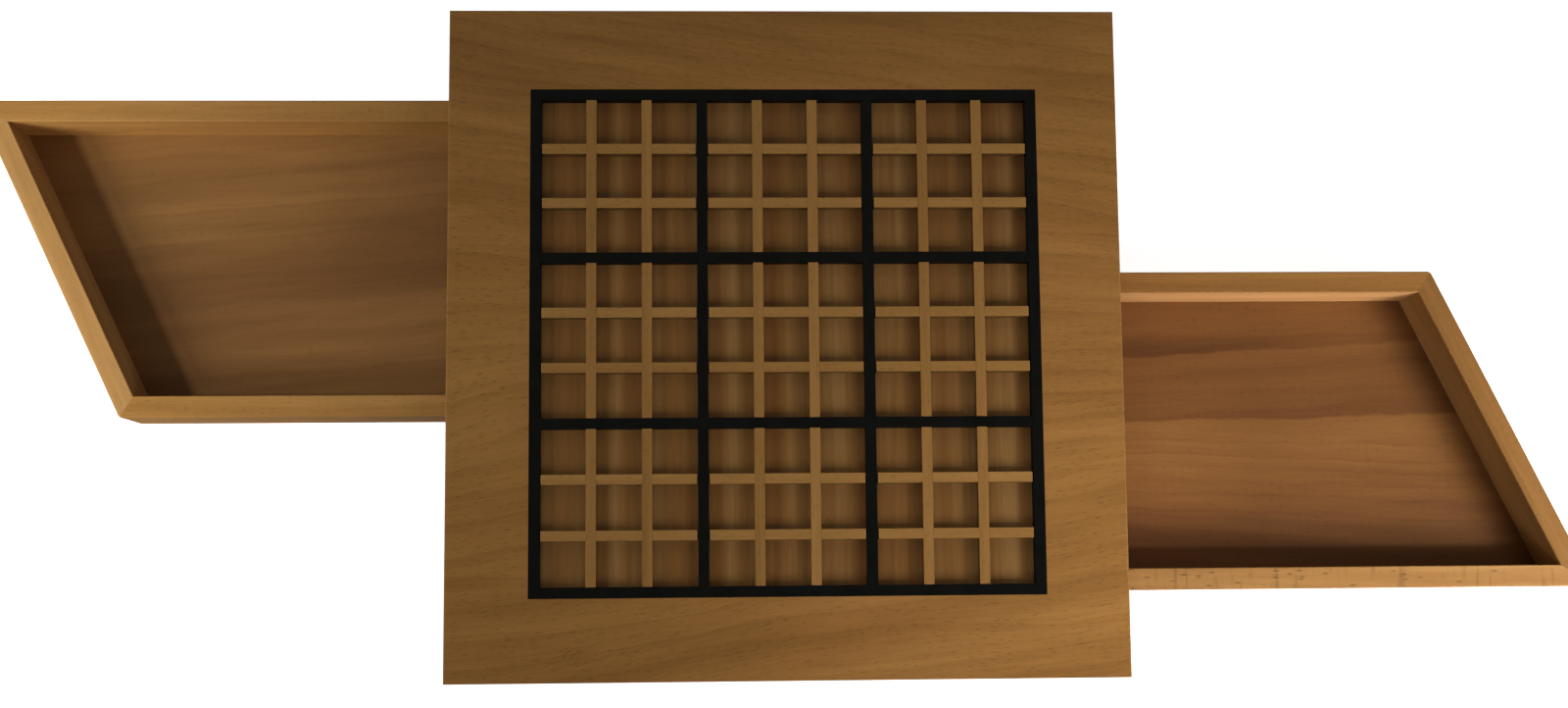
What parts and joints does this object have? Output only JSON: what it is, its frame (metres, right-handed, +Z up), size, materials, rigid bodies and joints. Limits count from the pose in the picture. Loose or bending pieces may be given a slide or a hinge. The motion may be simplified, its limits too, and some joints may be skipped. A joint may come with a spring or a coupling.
{
  "type": "wooden number puzzle board",
  "caption": "Square beech board with a recessed number-puzzle grid on a shallow box, and two slant-ended storage trays that swing out from under it on upright pins.",
  "frame": {"origin": "middle of the base panel's underside", "axes": "+X to the right along the opened trays, +Y to the board's back, +Z up out of the playing face"},
  "size_m": [0.725, 0.3, 0.044],
  "materials": {
    "beech_veneer": "satin clear lacquer over beech veneer",
    "cell_veneer": "satin clear lacquer over beech veneer",
    "beech_strip": "satin clear lacquer",
    "black_lacquer": "satin black lacquer",
    "beech_solid": "satin clear lacquer over solid beech",
    "tray_veneer": "satin clear lacquer over beech veneer",
    "beech_wall": "satin clear lacquer over beech veneer",
    "base_ply": "bare beech plywood",
    "beech_dowel": "bare beech dowel",
    "steel": "plain zinc-plated steel"
  },
  "bodies": {
    "carcass": {"back_wall": "beech_wall", "base_panel": "base_ply", "base_screws": "steel", "black_bar_back": "black_lacquer", "black_bar_front": "black_lacquer", "black_bar_left": "black_lacquer", "black_bar_right": "black_lacquer", "black_border_back": "black_lacquer", "black_border_front": "black_lacquer", "black_border_left": "black_lacquer", "black_border_right": "black_lacquer", "cell_floor": "cell_veneer", "column_strips_back_left": "beech_strip", "column_strips_back_middle": "beech_strip", "column_strips_back_right": "beech_strip", "column_strips_front_left": "beech_strip", "column_strips_front_middle": "beech_strip", "column_strips_front_right": "beech_strip", "column_strips_middle_left": "beech_strip", "column_strips_middle_middle": "beech_strip", "column_strips_middle_right": "beech_strip", "front_wall": "beech_wall", "left_closed_stop": "beech_dowel", "left_open_stop": "beech_dowel", "left_pivot_pin": "steel", "right_closed_stop": "beech_dowel", "right_open_stop": "beech_dowel", "right_pivot_pin": "steel", "row_strips_back_left": "beech_strip", "row_strips_back_middle": "beech_strip", "row_strips_back_right": "beech_strip", "row_strips_front_left": "beech_strip", "row_strips_front_middle": "beech_strip", "row_strips_front_right": "beech_strip", "row_strips_middle_left": "beech_strip", "row_strips_middle_middle": "beech_strip", "row_strips_middle_right": "beech_strip", "top_frame": "beech_veneer", "wall_dowels": "beech_dowel"},
    "left_tray": {"left_pivot_block": "beech_solid", "left_tray_floor": "tray_veneer", "left_tray_inner_end": "beech_solid", "left_tray_inner_side": "beech_solid", "left_tray_outer_side": "beech_solid", "left_tray_slanted_end": "beech_solid"},
    "right_tray": {"right_pivot_block": "beech_solid", "right_tray_floor": "tray_veneer", "right_tray_inner_end": "beech_solid", "right_tray_inner_side": "beech_solid", "right_tray_outer_side": "beech_solid", "right_tray_slanted_end": "beech_solid"}
  },
  "joints": [
    {"name": "left_tray_swing", "type": "hinge", "parent": "carcass", "child": "left_tray", "pos_m": [-0.13, 0.097, 0.0195], "axis": [0, 0, 1], "range_deg": [0, 90]},
    {"name": "right_tray_swing", "type": "hinge", "parent": "carcass", "child": "right_tray", "pos_m": [0.13, -0.097, 0.0195], "axis": [0, 0, 1], "range_deg": [0, 90]}
  ]
}
